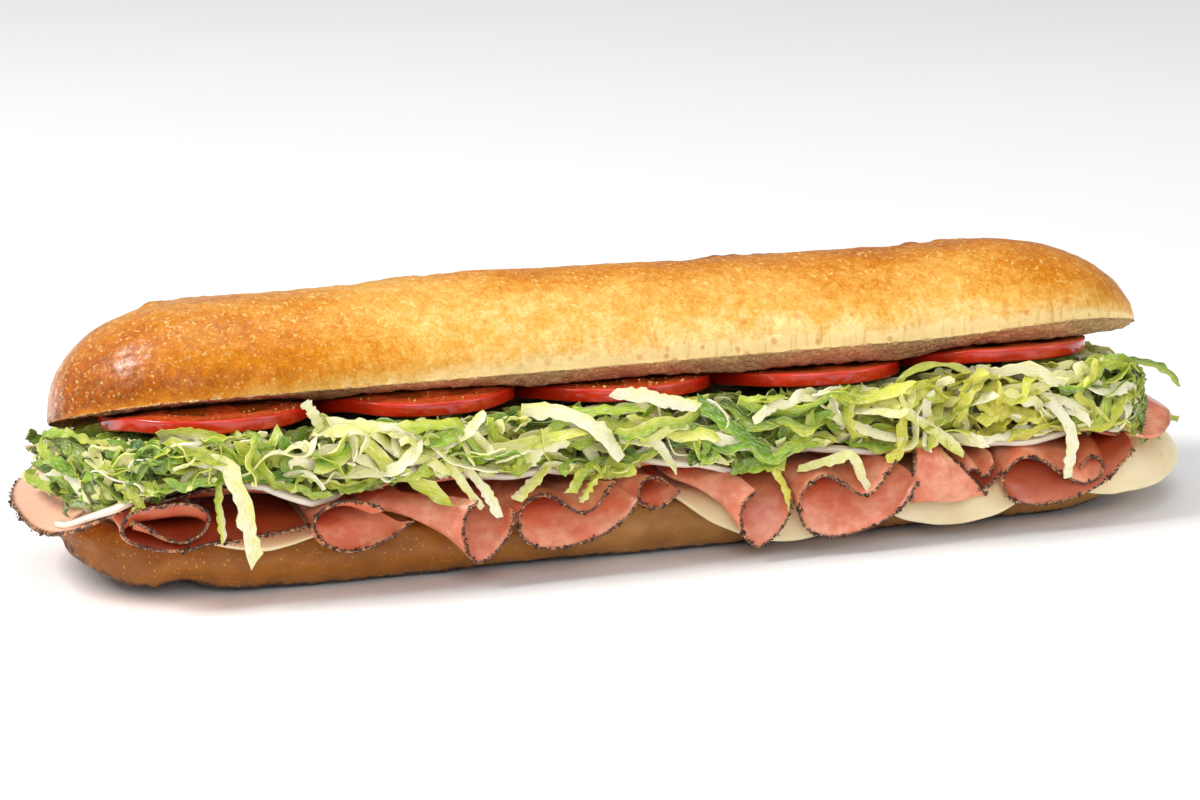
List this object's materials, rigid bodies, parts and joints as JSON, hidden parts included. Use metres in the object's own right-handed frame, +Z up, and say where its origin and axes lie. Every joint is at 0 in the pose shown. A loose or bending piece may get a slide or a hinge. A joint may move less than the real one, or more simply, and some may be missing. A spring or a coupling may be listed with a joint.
{
  "type": "submarine sandwich",
  "caption": "Long crusty roll filled with pale cheese, folded and flat peppered ham, onion rings, shredded lettuce and tomato slices, open along its front side.",
  "frame": {"origin": "on the flat underside of the lower half of the roll, in the middle of its length and depth", "axes": "+X along the roll, -Y towards the open front where the filling shows, +Z up through the layers"},
  "size_m": [0.341, 0.0911, 0.0765],
  "materials": {
    "crust": "glossy golden crust",
    "lower_crust": "matte browned crust",
    "cheese": "soft satin",
    "folded_ham": "moist, peppered edge",
    "flat_ham": "moist, peppered edge",
    "onion": "glossy, translucent",
    "lettuce": "crisp, moist",
    "tomato": "wet"
  },
  "bodies": {
    "root": {"bun_bottom": "lower_crust", "cheese_1": "cheese", "cheese_2": "cheese", "cheese_3": "cheese", "cheese_4": "cheese", "cheese_5": "cheese", "ham_fold_1": "folded_ham", "ham_fold_2": "folded_ham", "ham_fold_3": "folded_ham", "ham_fold_4": "folded_ham", "ham_fold_5": "folded_ham", "ham_fold_6": "folded_ham", "ham_fold_7": "folded_ham", "ham_fold_8": "folded_ham", "ham_fold_9": "folded_ham", "ham_fold_10": "folded_ham", "ham_flat_1": "flat_ham", "ham_flat_2": "flat_ham", "ham_flat_3": "flat_ham", "ham_flat_4": "flat_ham", "ham_flat_5": "flat_ham", "onion_1": "onion", "onion_2": "onion", "onion_3": "onion", "onion_4": "onion", "onion_5": "onion", "onion_6": "onion", "lettuce": "lettuce", "tomato_1": "tomato", "tomato_2": "tomato", "tomato_3": "tomato", "tomato_4": "tomato", "tomato_5": "tomato", "bun_top": "crust"}
  },
  "joints": []
}
